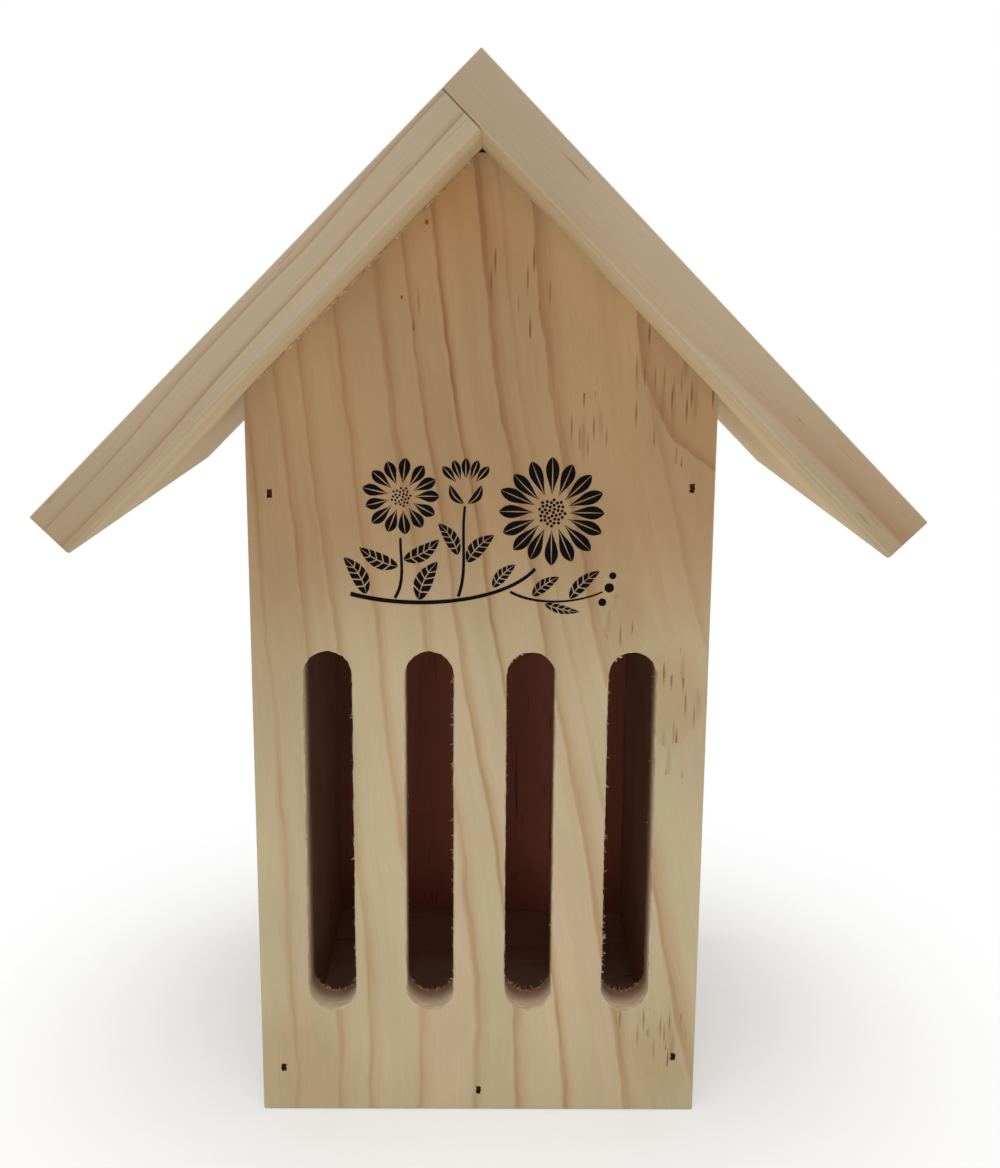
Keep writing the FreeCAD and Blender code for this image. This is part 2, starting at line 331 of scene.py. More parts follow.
# Lowest and highest x and z of the cuts that a router made.
ROUTED = {
    "front_panel": (-46.0 * MM, 46.0 * MM, 20.0 * MM, 130.0 * MM),
    "back_panel": (-8.0 * MM, 8.0 * MM, 170.0 * MM, 215.0 * MM),
}
MARKS = ("routed", "punched", "arris", "end_grain", "underside")
print("boards:", len(GRAIN))

# %% Welding and marking helpers
WELD = 0.0005 * MM
FLAT = math.radians(0.2)
HARD = math.radians(30)
HULL_GAP = 0.01 * MM


def welded_copy(node):
    """The node's triangles as one closed skin with whole flat faces."""
    form = bmesh.new()
    form.from_mesh(frame["nodes"][node].data)
    bmesh.ops.remove_doubles(form, verts=form.verts, dist=WELD)
    bmesh.ops.dissolve_limit(form, angle_limit=FLAT, verts=form.verts, edges=form.edges)
    for mark in MARKS:
        form.faces.layers.float.new(mark)
    form.normal_update()
    return form


def on_hull(form, face):
    """True for a face with the whole board behind it."""
    reach = max(vert.co.dot(face.normal) for vert in form.verts)
    return reach - face.verts[0].co.dot(face.normal) < HULL_GAP


def mark_cuts(form, node):
    """Marks the walls of routed slots and punched holes."""
    routed = form.faces.layers.float["routed"]
    punched = form.faces.layers.float["punched"]
    left, right, low, high = ROUTED.get(node, (0.0, 0.0, 0.0, 0.0))
    for face in form.faces:
        if on_hull(form, face):
            continue
        centre = face.calc_center_median()
        if left < centre.x < right and low < centre.z < high:
            face[routed] = 1.0
        else:
            face[punched] = 1.0


def is_hard(edge):
    """True where two faces meet at an angle."""
    return len(edge.link_faces) == 2 and edge.calc_face_angle(0.0) > HARD


# %% Easing
EASING = 0.35 * MM
EAVES_EASING = 0.9 * MM
LONG_EDGE = 50.0 * MM
JOINT_EASING = 0.09 * MM
JOINT_GAP = 0.05 * MM
ROOF_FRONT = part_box("left_roof_board")[0].y


def board_tree(node):
    """A search tree of a packed board's surface."""
    form = bmesh.new()
    form.from_mesh(frame["nodes"][node].data)
    tree = BVHTree.FromBMesh(form)
    form.free()
    return tree


def meets_board(edge, others):
    """True where the middle of an edge lies on another board."""
    middle = (edge.verts[0].co + edge.verts[1].co) / 2
    return any(tree.find_nearest(middle, JOINT_GAP)[0] for tree in others)


def outer_edges(form):
    """Hard edges between faces of the board's hull."""
    routed = form.faces.layers.float["routed"]
    punched = form.faces.layers.float["punched"]
    cut = {face for face in form.faces if face[routed] or face[punched]}
    return [edge for edge in form.edges if is_hard(edge) and not cut.intersection(edge.link_faces)]


def bevel_edges(form, edges, width, segments):
    """Bevels edges and gives back the new faces."""
    made = bmesh.ops.bevel(
        form, geom=edges, offset=width, offset_type="OFFSET", affect="EDGES",
        segments=segments, profile=0.5, material=-1, clamp_overlap=True,
    )
    return made["faces"]


def at_eaves(edge):
    """True for a roof board's long lower front edge, which is rounded the most."""
    on_front = all(abs(vert.co.y - ROOF_FRONT) < HULL_GAP for vert in edge.verts)
    faces_down = any(face.normal.z < DOWNWARD for face in edge.link_faces)
    return on_front and faces_down and edge.calc_length() > LONG_EDGE


def ease_edges(form, others):
    """Rounds the eaves, bevels the other free edges, and then those in a joint hardly at all."""
    arris = form.faces.layers.float["arris"]
    eaves = [edge for edge in outer_edges(form) if at_eaves(edge)]
    for face in bevel_edges(form, eaves, EAVES_EASING, 3):
        face[arris] = 1.0
    sharp = [edge for edge in outer_edges(form) if not all(face[arris] for face in edge.link_faces)]
    free = [edge for edge in sharp if not meets_board(edge, others)]
    for face in bevel_edges(form, free, EASING, 2):
        face[arris] = 1.0
    joint = [edge for edge in outer_edges(form) if not any(face[arris] for face in edge.link_faces)]
    bevel_edges(form, joint, JOINT_EASING, 1)
    return len(eaves), len(free), len(joint)


def mark_sides(form, node):
    """Gives each face the share of end grain that it shows, and marks the undersides of the roof."""
    arris = form.faces.layers.float["arris"]
    end_grain = form.faces.layers.float["end_grain"]
    underside = form.faces.layers.float["underside"]
    form.normal_update()
    for face in form.faces:
        face[end_grain] = face.normal.dot(GRAIN[node]) ** 2
        is_side = not face[arris] and face[end_grain] <= DIAGONAL
        if "roof" in node and is_side and face.normal.z < DOWNWARD:
            face[underside] = 1.0


# %% [markdown]
# ## Rough slot rims
# A router tears the fibres where it leaves the wood. Straight rims would look machined from
# plastic, so the rim is divided every millimetre or so, given a small chamfer, and its points are
# moved by a fraction of a millimetre, but never out past the front face. A brad's hole is ragged
# in the same way, because the gun's blade crushes the fibres round the head.

# %% Rim helper
RIM_STEP = 1.2 * MM
RIM_CHAMFER = 0.28 * MM
RIM_SHAKE = 0.12 * MM
RIM_MARK = 0.5
HOLE_STEP = 0.45 * MM
HOLE_SHAKE = 0.17 * MM
rim_chance = random.Random(41)


def front_rims(form, mark):
    """Edges between the front face and the walls of the marked cuts."""
    layer = form.faces.layers.float[mark]
    rims = []
    for edge in form.edges:
        if not is_hard(edge):
            continue
        on_front = all(abs(vert.co.y - FRONT_Y) < HULL_GAP for vert in edge.verts)
        if on_front and any(face[layer] for face in edge.link_faces):
            rims.append(edge)
    return rims


def divided_rims(form, mark, step):
    """The front rims of the marked cuts, divided into short edges."""
    for edge in front_rims(form, mark):
        cuts = int(edge.calc_length() / step)
        if cuts:
            bmesh.ops.subdivide_edges(form, edges=[edge], cuts=cuts)
    return front_rims(form, mark)


def shake(verts, most):
    """Moves points of a rim at random, and those behind the front face further into the wood."""
    for vert in sorted(verts, key=lambda item: tuple(item.co)):
        on_front = abs(vert.co.y - FRONT_Y) < HULL_GAP
        vert.co.x += rim_chance.uniform(-most, most)
        vert.co.z += rim_chance.uniform(-most, most)
        if not on_front:
            vert.co.y += rim_chance.uniform(0.0, 3 * most)


def roughen_holes(form):
    """Divides and shakes the front rims of the brads' holes."""
    rims = divided_rims(form, "punched", HOLE_STEP)
    shake({vert for edge in rims for vert in edge.verts}, HOLE_SHAKE)
    return len(rims)


def roughen_rims(form):
    """Divides, chamfers and shakes the front rims of the slots."""
    rims = divided_rims(form, "routed", RIM_STEP)
    chamfer = bevel_edges(form, rims, RIM_CHAMFER, 1)
    routed = form.faces.layers.float["routed"]
    for face in chamfer:
        face[routed] = RIM_MARK
    shake({vert for face in chamfer for vert in face.verts}, RIM_SHAKE)
    return len(rims)


# %% Make the boards
ROUND = math.radians(22)
FLAT_AREA = 60.0 * MM * MM
boards = {}


def finished_piece(form, name):
    """A piece at the origin, riding on the house. Large faces stay flat, small ones are smooth."""
    mesh = bpy.data.meshes.new(name)
    form.to_mesh(mesh)
    form.free()
    mesh.shade_smooth()
    mesh.set_sharp_from_angle(angle=ROUND)
    for face in mesh.polygons:
        face.use_smooth = face.area < FLAT_AREA
    piece = bpy.data.objects.new(name, mesh)
    bpy.context.collection.objects.link(piece)
    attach(piece, "root")
    return piece


trees = {node: board_tree(node) for node in GRAIN}
for node in GRAIN:
    form = welded_copy(node)
    mark_cuts(form, node)
    others = [tree for name, tree in trees.items() if name != node]
    eased = ease_edges(form, others)
    rims = 0
    if node == "front_panel":
        rims = roughen_rims(form) + roughen_holes(form)
    mark_sides(form, node)
    board = finished_piece(form, "eased_" + node)
    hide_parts(node)
    boards[node] = board
    print(node, "eaves, free and joint edges:", eased, "rim edges:", rims)

# %% [markdown]
# ## Pine, cut from a tree
# Pine is rings of pale spring wood that darken slowly outwards and end sharply in a thin brown
# line. A board is a slice through those rings, so its pattern is made in space: the distance from
# a pith line, divided by the width of a ring. Any face then shows the right cut, also the ends.

# %% Year rings
# The place in the tree, in mm, from which the front face was cut.
GRAIN_DEPTH = -19.25
RING_PROFILE = ((0.0, 0.0), (0.5, 0.05), (0.78, 0.4), (0.93, 1.0), (0.97, 0.25), (1.0, 0.0))
FINE_PROFILE = ((0.0, 0.0), (0.7, 0.06), (0.87, 0.4), (0.94, 1.0), (0.98, 0.3), (1.0, 0.0))
BROAD_PROFILE = ((0.0, 0.0), (0.3, 0.12), (0.7, 0.5), (0.93, 1.0), (0.985, 0.2), (1.0, 0.0))
# Scale and detail of the waves in the rings, and how far in mm they move a ring.
RING_WAVE = ((0.035, 0.035, 0.011), 2.0)
RING_SWAY = 6.0


def board_spot(finish, turn=0.0):
    """Object coordinates in millimetres, turned about Y so that the grain runs along Z."""
    spot = finish.node("ShaderNodeTexCoord", {}).outputs["Object"]
    shift = (0.0, GRAIN_DEPTH - FRONT_Y / MM, 0.0)
    return finish.mapped(spot, (1 / MM,) * 3, (0.0, turn, 0.0), shift)


def year_rings(finish, spot, pith, tilt, width, least, profile):
    """The brown of the rings round a tilted pith line, from 0 to 1, each ring at its own strength."""
    x, y, z = finish.split(spot)
    across = finish.sum("SUBTRACT", finish.line(z, -tilt[0], x), pith[0])
    deep = finish.sum("SUBTRACT", finish.line(z, -tilt[1], y), pith[1])
    square = finish.line(across, across, finish.times(deep, deep))
    radius = finish.line(finish.speckle(spot, *RING_WAVE), RING_SWAY, finish.sum("SQRT", square))
    turns = finish.sum("DIVIDE", radius, width)
    number = finish.sum("FLOOR", turns)
    chance = finish.node("ShaderNodeTexWhiteNoise", {"W": number}, noise_dimensions="1D")
    weight = finish.spread(chance.outputs["Value"], 0.0, 1.0, least, 1.0)
    brown = finish.ramp(finish.sum("FRACT", turns), profile)
    return finish.times(brown, weight)


# %% [markdown]
# ## From grain to colour
# The brown of the rings is only the start. Fibres run as fine streaks, the wood is blotchy, short
# dark dashes mark resin canals, end grain drinks light, eased edges are paler with a painted
# highlight, the roof's undersides get painted light, the inside gets painted shade, routed walls are
# hairy and greyer and browner deeper in as painted shade, and punched holes are painted dark as
# shade. Each is a small step over the last colour.

# %% Wood colours
SPRING = tone(190, 172, 138)
SUMMER = tone(166, 122, 76)
ROOF_SPRING = tone(171, 154, 127)
ROOF_LOW = tone(165, 144, 114)
LEFT_ROOF_LOW = tone(160, 139, 110)
LEFT_ROOF_SUMMER = tone(150, 117, 84)
RIGHT_LOW_SUMMER = tone(148, 112, 80)
RIGHT_ROOF_SUMMER = tone(167, 141, 112)
RESIN = tone(110, 66, 26)
END_WOOD = tone(196, 172, 132)
CREAM = tone(196, 176, 144)
# The pale front of a routed wall, and the painted shade deeper in.
FOOT_PALE = tone(234, 212, 180)
FOOT_PAINTED_SHADE = tone(152, 116, 86)
# Painted light on the undersides of the roof, at the eaves and at the ridge: a tint that brightens
# them as bounce from the floor would.
UNDERSIDE_PAINTED_LIGHT = ((1.41, 1.51, 1.48, 1.0), (1.46, 1.44, 1.34, 1.0))
# Walls of the brads' holes, painted dark as the shade inside them.
HOLE_PAINTED_SHADE = tone(43, 20, 4)

# %% The room inside
# Inside, painted shade darkens the wood along an axis (0 is across, 1 the depth, 2 the height) from
# a second place in mm to a first one, where this share of its colour is left, and a warm tint paints
# the shade and the reddish light that bounces between the walls.
WALL_DIM = (2, 10.0, 60.0, 0.92)
BACK_DIM = (2, 95.0, 15.0, 0.82)
CORNER_DIM = (0, -44.0, -28.0, 0.65)
FLOOR_DIM = (1, 5.0, 55.0, 0.64)
# Painted shade of each inner wall: its warm tint and the dims along which it darkens.
BACK_PAINTED_SHADE = (tone(220, 144, 132), BACK_DIM, CORNER_DIM)
SIDE_PAINTED_SHADE = (tone(252, 220, 228), WALL_DIM)
FLOOR_PAINTED_SHADE = (tone(255, 226, 240), FLOOR_DIM)
INNER_HALF = 45.2
INNER_DEPTH = (35.75, 44.2)
INNER_FLOOR = 10.8
# The underside of the roof, as the sum of the height and the distance from the middle.
INNER_ROOF = 243.0


def inside_house(finish):
    """1 on the faces that close the room inside, and 0 elsewhere."""
    x, y, z = finish.split(board_spot(finish))
    sideways = finish.sum("ABSOLUTE", x)
    narrow = finish.sum("LESS_THAN", sideways, INNER_HALF)
    middle = finish.sum("ABSOLUTE", finish.sum("SUBTRACT", y, INNER_DEPTH[0]))
    behind = finish.sum("LESS_THAN", middle, INNER_DEPTH[1])
    above = finish.sum("GREATER_THAN", z, INNER_FLOOR)
    below = finish.sum("LESS_THAN", finish.sum("ADD", sideways, z), INNER_ROOF)
    return finish.times(narrow, behind, above, below)


def inner_tint(finish, painted_inner_shade):
    """The painted shade of the wood inside: a tint, dimmed along the axes that it names."""
    tint, *dims = painted_inner_shade
    for axis, dim_to, dim_from, least in dims:
        dim = finish.spread(finish.split(board_spot(finish))[axis], dim_to, dim_from, least, 1.0)
        tint = finish.tinted(tint, dim)
    return tint


# %% Raw pine
# Scale, detail and shift of each pattern, in mm.
FIBRES = ((2.4, 2.4, 0.05), 3.0)
BLOTCHY = ((0.05, 0.05, 0.018), 2.0, (7.0, 3.0, 1.0))
HAIR = ((0.5, 1.5, 0.5), 4.0)
# Range of a pattern, and the shades or the roughness that it gives.
FIBRE_SHADE = (0.25, 0.75, 0.97, 1.03)
BLOTCHY_SHADE = (0.3, 0.7, 0.94, 1.05)
HAIR_SHADE = (0.3, 0.75, 0.75, 1.2)
FIBRE_ROUGHNESS = (0.2, 0.8, 0.66, 0.8)
# Share of the rings that is lost inside and underneath, and shares in which a colour covers the wood.
RING_LOSS = 0.7
RESIN_SHARE = 0.85
# The cream of the eased edges is partly wear and partly a painted highlight.
EDGE_WEAR_AND_HIGHLIGHT_SHARE = 0.35
END_SHARE = 0.55
ROUTED_SHARE = 0.85
# How much smoother a ring is, how high rings and hairs stand over the fibres, and the bump.
RING_GLOSS = 0.12
RING_RELIEF = 0.4
HAIR_RELIEF = 2.0
WOOD_BUMP = (0.25, 0.15 * MM)
# Heights, in mm, between which a roof board turns from its lower to its upper tone.
ROOF_RISE = (150.0, 205.0)
# Depths, in mm, between which a routed wall turns from pale to brown, as painted shade deeper in the
# slot.
FOOT_SHADE_DEPTHS = (GRAIN_DEPTH + 4.5, GRAIN_DEPTH + 12.5)
# Depth in mm by which hairs move that change.
FOOT_RAGGED = 6.0


def roof_rise(finish):
    """The share of the way up the roof, from 0 at the eaves to 1 in the upper half."""
    return finish.spread(finish.split(board_spot(finish))[2], *ROOF_RISE)


def routed_wall(finish, spot, hair):
    """The colour of a routed wall, pale in front and browner behind as painted shade."""
    behind = finish.line(hair, FOOT_RAGGED, finish.split(spot)[1])
    wear_and_painted_shade = finish.mix(finish.spread(behind, *FOOT_SHADE_DEPTHS), FOOT_PALE, FOOT_PAINTED_SHADE)
    return finish.tinted(wear_and_painted_shade, finish.spread(hair, *HAIR_SHADE))


def wood_finish(finish, spot, brown, streaks, spring, summer, painted_inner_shade):
    """Colours, roughness and bump of raw pine, from its brown, its resin streaks and its painted shade
    inside.
    """
    inner = inside_house(finish)
    underside = finish.mark("underside")
    routed = finish.mark("routed")
    fibres = finish.speckle(spot, *FIBRES)
    hair = finish.speckle(spot, *HAIR)
    plain = finish.sum("MAXIMUM", inner, underside)
    brown = finish.times(brown, finish.line(plain, -RING_LOSS, 1.0))
    blotchy = finish.spread(finish.speckle(spot, *BLOTCHY), *BLOTCHY_SHADE)
    shade = finish.times(finish.spread(fibres, *FIBRE_SHADE), blotchy)
    colour = finish.tinted(finish.mix(brown, spring, summer), shade)
    colour = finish.mix(finish.times(streaks, RESIN_SHARE), colour, RESIN)
    # Eased edges: cream that is partly wear and partly a painted highlight.
    colour = finish.mix(finish.times(finish.mark("arris"), EDGE_WEAR_AND_HIGHLIGHT_SHARE), colour, CREAM)
    # Painted light: the roof's undersides are brightened as bounce from the floor would light them.
    under = finish.mix(roof_rise(finish), *UNDERSIDE_PAINTED_LIGHT)
    colour = finish.mix(underside, colour, finish.tinted(colour, under))
    ends = finish.times(finish.mark("end_grain"), END_SHARE)
    colour = finish.mix(ends, colour, finish.tinted(colour, END_WOOD))
    # Painted shade inside the house.
    colour = finish.mix(inner, colour, finish.tinted(colour, inner_tint(finish, painted_inner_shade)))
    # Routed walls, with painted shade towards the back of the slots.
    colour = finish.mix(finish.times(routed, ROUTED_SHARE), colour, routed_wall(finish, spot, hair))
    # Punched holes, painted dark as shade.
    colour = finish.mix(finish.mark("punched"), colour, HOLE_PAINTED_SHADE)
    finish.surface("Base Color", colour)
    rough = finish.line(brown, -RING_GLOSS, finish.spread(fibres, *FIBRE_ROUGHNESS))
    finish.surface("Roughness", rough)
    relief = finish.line(brown, RING_RELIEF, fibres)
    finish.bumped(finish.line(finish.times(routed, hair), HAIR_RELIEF, relief), *WOOD_BUMP)
    return finish.material


# %% Pine boards round the front
PITCH = math.radians(45)
PINE_GLOSS = 0.25
# Scale and detail of the resin dashes and of the places where they gather, and the edges of both.
DASHES = ((1.4, 1.4, 0.075), 1.0)
DASH_EDGE = (0.66, 0.74)
DASH_PLACES = ((0.045, 0.045, 0.02), 1.0)
DASH_PLACE_EDGE = (0.48, 0.6)


def scattered_streaks(finish, spot, shift):
    """Short resin dashes that gather here and there."""
    sharp = finish.spread(finish.speckle(spot, *DASHES, shift), *DASH_EDGE)
    where = finish.spread(finish.speckle(spot, *DASH_PLACES, shift), *DASH_PLACE_EDGE)
    return finish.times(sharp, where)


def pine_board(node, turn, pith, tilt, width, shift, painted_inner_shade, springs=(SPRING, SPRING),
               summers=(SUMMER, SUMMER), least=0.35, profile=RING_PROFILE):
    """Finishes one board, cut from its own place in a tree."""
    finish = Finish("pine_" + node, PINE_GLOSS)
    spot = board_spot(finish, turn)
    brown = year_rings(finish, spot, pith, tilt, width, least, profile)
    streaks = scattered_streaks(finish, spot, shift)
    rise = roof_rise(finish)
    spring = finish.mix(rise, *springs)
    summer = finish.mix(rise, *summers)
    material = wood_finish(finish, spot, brown, streaks, spring, summer, painted_inner_shade)
    boards[node].data.materials.append(material)


# Turn of the grain, place and tilt of the pith, width of a ring in mm, shift of the dashes and painted
# shade inside of each board, and for the roof its pale and brown tones at the eaves and at the ridge.
pine_board("back_panel", 0.0, (8.0, 153.5), (0.01, 0.05), 6.2, (3.0, 5.0, 2.0), BACK_PAINTED_SHADE)
pine_board("left_side_panel", 0.0, (40.0, 14.0), (0.11, 0.03), 5.4, (11.0, 2.0, 8.0), SIDE_PAINTED_SHADE)
pine_board("right_side_panel", 0.0, (-36.0, 32.0), (-0.09, -0.05), 5.8, (4.0, 9.0, 6.0), SIDE_PAINTED_SHADE)
pine_board("floor_board", math.radians(90), (60.0, 20.0), (0.08, 0.02), 5.6, (8.0, 8.0, 3.0),
           FLOOR_PAINTED_SHADE)
pine_board("left_roof_board", -PITCH, (-242.24, -60.0), (-0.014, 0.05), 4.6, (2.0, 7.0, 5.0),
           SIDE_PAINTED_SHADE, (LEFT_ROOF_LOW, ROOF_SPRING), (LEFT_ROOF_SUMMER, LEFT_ROOF_SUMMER), 0.6,
           FINE_PROFILE)
pine_board("right_roof_board", PITCH, (241.4, -50.0), (-0.06, 0.04), 14.0, (6.0, 1.0, 9.0),
           SIDE_PAINTED_SHADE, (ROOF_LOW, ROOF_SPRING), (RIGHT_LOW_SUMMER, RIGHT_ROOF_SUMMER), 0.9,
           BROAD_PROFILE)
print("pine boards finished:", len(boards) - 1)

# %% [markdown]
# ## The front panel's own grain
# The front is what the eye rests on, so its grain follows the real board: eleven lines that lean and
# spread towards the foot, sharp on the left and fading to the right, and an arch at the right
# edge where the cut runs flat through a ring. The lines are a ramp over a leaning coordinate.

# %% Front grain lines
# Place at the shoulder in mm, strength, and width in mm of each line.
FRONT_LINES = (
    (-54.8, 0.6, 1.5), (-46.4, 0.6, 2.2), (-40.2, 0.55, 2.0), (-31.0, 0.7, 2.3), (-20.5, 0.7, 2.0),
    (-13.4, 0.75, 1.8), (-5.2, 1.0, 1.3), (5.6, 0.8, 2.9), (10.6, 0.3, 0.6), (17.5, 0.75, 3.6),
    (40.6, 0.35, 2.0),
)
# Offset in mm from a line's place, share of its width that is added, and level there.
LINE_PROFILE = ((-0.35, 0.0, 0.0), (0.05, 0.0, 1.0), (0.4, 0.0, 0.88), (0.4, 0.3, 0.48), (0.65, 1.0, 0.0))
LINES_PER_RAMP = 6
SHOULDER = 180.0
LEAN_BELOW = 0.181
LEAN_ABOVE = 0.13
SPREAD_BELOW = 0.0023
# The lean ends this far below the shoulder at the middle, and lower down towards the right.
LEAN_END = 150.0
LEAN_END_SLOPE = 0.7
LEAN_BEND = 25.0
LINE_SPAN = 80.0
# How far in mm waves and ripples move the lines, with their scale and detail.
LINE_WAVES = ((5.0, (0.033, 0.02, 0.018), 1.0), (1.6, (0.16, 0.1, 0.10), 2.0))
# Scale of the patterns that break the lines, and the strength that they leave.
LINE_BREAKS = (((0.1, 0.1, 0.03), 0.7, 1.0), ((1.6, 1.0, 0.05), 0.75, 1.1))
BREAK_RANGE = (0.3, 0.7)
FAINT_LINES = (0.2, 0.1, 0.008)
FAINT_RANGE = (0.5, 0.8, 0.0, 0.14)


def swayed(finish, value, spot, most, *pattern):
    """A value that a soft pattern moves to both sides."""
    return finish.sum("ADD", value, finish.line(finish.speckle(spot, *pattern), most, -most / 2))


def leaning_spot(finish, spot):
    """The front board's place with its leaning grain drawn upright, as at the shoulder."""
    x, y, z = finish.split(spot)
    for wave in LINE_WAVES:
        x = swayed(finish, x, spot, *wave)
    down = finish.sum("SUBTRACT", SHOULDER, z)
    lean_end = finish.line(x, LEAN_END_SLOPE, LEAN_END)
    below = finish.sum("MAXIMUM", finish.sum("SMOOTH_MIN", down, lean_end, LEAN_BEND), 0.0)
    above = finish.sum("MINIMUM", down, 0.0)
    start = finish.line(below, -LEAN_BELOW, x)
    drawn = finish.sum("DIVIDE", start, finish.line(below, SPREAD_BELOW, 1.0))
    across = finish.line(above, -LEAN_ABOVE, drawn)
    return finish.node("ShaderNodeCombineXYZ", {"X": across, "Y": y, "Z": z}).outputs["Vector"]


def line_stops(lines):
    """Ramp stops of lines with a dark left edge, a paler body and a soft right edge."""
    stops = []
    for line, strength, width in lines:
        for offset, share, level in LINE_PROFILE:
            place = line + offset + share * width
            stops.append(((place + LINE_SPAN) / (2 * LINE_SPAN), strength * level))
    return stops


def front_lines(finish, upright):
    """The brown of the grain lines, broken by fine streaks, and of the faint ones between them."""
    scaled = finish.line(finish.split(upright)[0], 0.5 / LINE_SPAN, 0.5)
    left = finish.ramp(scaled, line_stops(FRONT_LINES[:LINES_PER_RAMP]))
    right = finish.ramp(scaled, line_stops(FRONT_LINES[LINES_PER_RAMP:]))
    brown = finish.sum("MAXIMUM", left, right)
    for scale, least, most in LINE_BREAKS:
        broken = finish.spread(finish.speckle(upright, scale), *BREAK_RANGE, least, most)
        brown = finish.times(brown, broken)
    faint = finish.spread(finish.speckle(upright, FAINT_LINES), *FAINT_RANGE)
    return finish.sum("MAXIMUM", brown, faint)


# %% Front arch and blotches
# Middle, foot, half-width and rise of the arch in mm, and its strength at the foot and above.
ARCH = (58.0, 167.0, 23.5, 13.0, 0.5, 0.55)
# How far in mm waves move the arch, with their scale, detail and shift.
ARCH_WAVE = (4.0, (0.1, 0.05, 0.07), 2.0, (5.0, 5.0, 5.0))
# Depths in mm over which the arch starts, and over which it fades to a share of its strength.
ARCH_EDGE = (-0.3, 0.5)
ARCH_FADE = (0.4, 4.0, 1.0, 0.34)
# Middle, reach and strength of the brown blotches lower down.
BLOTCHES = (
    ((47.5, 112.0), (10.0, 16.0), 0.26), ((46.5, 15.0), (12.0, 15.0), 0.24),
    ((34.0, 131.0), (8.0, 12.0), 0.22), ((-50.0, 124.0), (11.0, 38.0), 0.16),
    ((-44.0, 12.0), (18.0, 22.0), 0.2),
)


def field(finish, x, z, middle, reach):
    """A soft oval from 1 at its middle to 0 at its edge."""
    across = finish.sum("DIVIDE", finish.sum("SUBTRACT", x, middle[0]), reach[0])
    up = finish.sum("DIVIDE", finish.sum("SUBTRACT", z, middle[1]), reach[1])
    square = finish.line(across, across, finish.times(up, up))
    return finish.sum("MAXIMUM", finish.sum("SUBTRACT", 1.0, square), 0.0)


def arch(finish, x, z, middle, foot, half, rise):
    """The depth inside an arch that opens upwards, below 0 outside it."""
    up = finish.sum("MAXIMUM", finish.sum("SUBTRACT", z, foot), 0.0)
    narrow = finish.sum("EXPONENT", finish.sum("DIVIDE", up, -rise))
    reach = finish.line(narrow, -half, half)
    return finish.sum("SUBTRACT", reach, finish.sum("ABSOLUTE", finish.sum("SUBTRACT", x, middle)))


def front_arches(finish, spot, brown):
    """Adds the brown of the arch and of the blotches to the brown of the lines."""
    x, _, z = finish.split(spot)
    shaken = swayed(finish, x, spot, *ARCH_WAVE)
    middle, foot, half, rise, low, high = ARCH
    depth = arch(finish, shaken, z, middle, foot, half, rise)
    fill = finish.times(finish.spread(depth, *ARCH_EDGE), finish.spread(depth, *ARCH_FADE))
    level = finish.spread(z, foot + rise, foot + 4 * rise, low, high)
    brown = finish.sum("MAXIMUM", brown, finish.times(fill, level))
    for middle, reach, level in BLOTCHES:
        oval = finish.spread(field(finish, shaken, z, middle, reach), 0.0, 1.0, 0.0, level)
        brown = finish.sum("MAXIMUM", brown, oval)
    return brown


# %% Dashes and pin knots
# Middle and reach, across and up, of each field of resin dashes.
STREAK_FIELDS = (
    ((47.0, 190.0), (14.0, 22.0)), ((25.0, 178.0), (6.0, 11.0)), ((49.0, 108.0), (10.0, 17.0)),
    ((34.0, 131.0), (5.0, 8.0)), ((45.0, 22.0), (11.0, 11.0)), ((12.5, 213.0), (5.0, 15.0)),
    ((-15.5, 205.0), (1.6, 8.0)), ((2.9, 214.0), (1.6, 7.0)), ((-7.7, 203.0), (1.6, 6.0)),
)
# Width and length in mm of a dash's cell, shift of the cells, edge of a dash, and its strength.
DARK_DASHES = (1.4, 17.0, 0.0, 0.26, 1.0)
SOFT_DASHES = (2.8, 22.0, 0.37, 0.36, 0.42)
# Share of the cells with a dash in the middle of a field, core of a dash, and its least strength.
DASH_SHARE = 0.95
DASH_CORE = 0.04
DASH_LEAST = 0.5
# Middle and radius of two pin knots, how much taller than wide they are, and their soft edge.
PIN_KNOTS = (((-12.7, 225.7), 0.5), ((-18.6, 208.7), 0.36))
KNOT_STRETCH = 1.4
KNOT_EDGE = 0.5


def dashes(finish, x, z, where, kind):
    """Dashes of one kind, one to a cell of a stretched pattern, as dense as their field."""
    width, length, shift, edge, strength = kind
    place = {"X": finish.line(x, 1.0 / width, shift), "Y": finish.sum("DIVIDE", z, length)}
    flat = finish.node("ShaderNodeCombineXYZ", place).outputs["Vector"]
    cells = finish.node("ShaderNodeTexVoronoi", {"Vector": flat, "Scale": 1.0}, voronoi_dimensions="2D")
    chance, weight, _ = finish.split(cells.outputs["Color"])
    taken = finish.sum("LESS_THAN", chance, finish.times(where, DASH_SHARE))
    dash = finish.spread(cells.outputs["Distance"], DASH_CORE, edge, strength, 0.0)
    return finish.times(dash, finish.spread(weight, 0.0, 1.0, DASH_LEAST, 1.0), taken)


def front_streaks(finish, spot):
    """Dark and soft resin dashes in their fields, and the pin knots."""
    x, _, z = finish.split(spot)
    where = 0.0
    for middle, reach in STREAK_FIELDS:
        where = finish.sum("MAXIMUM", where, field(finish, x, z, middle, reach))
    dark = dashes(finish, x, z, where, DARK_DASHES)
    streaks = finish.sum("MAXIMUM", dark, dashes(finish, x, z, where, SOFT_DASHES))
    for middle, radius in PIN_KNOTS:
        knot = field(finish, x, z, middle, (radius, KNOT_STRETCH * radius))
        streaks = finish.sum("MAXIMUM", streaks, finish.spread(knot, 0.0, KNOT_EDGE))
    return streaks


# %% Front finish
MEADOW = tone(189, 174, 138)
ROSE = tone(194, 173, 140)
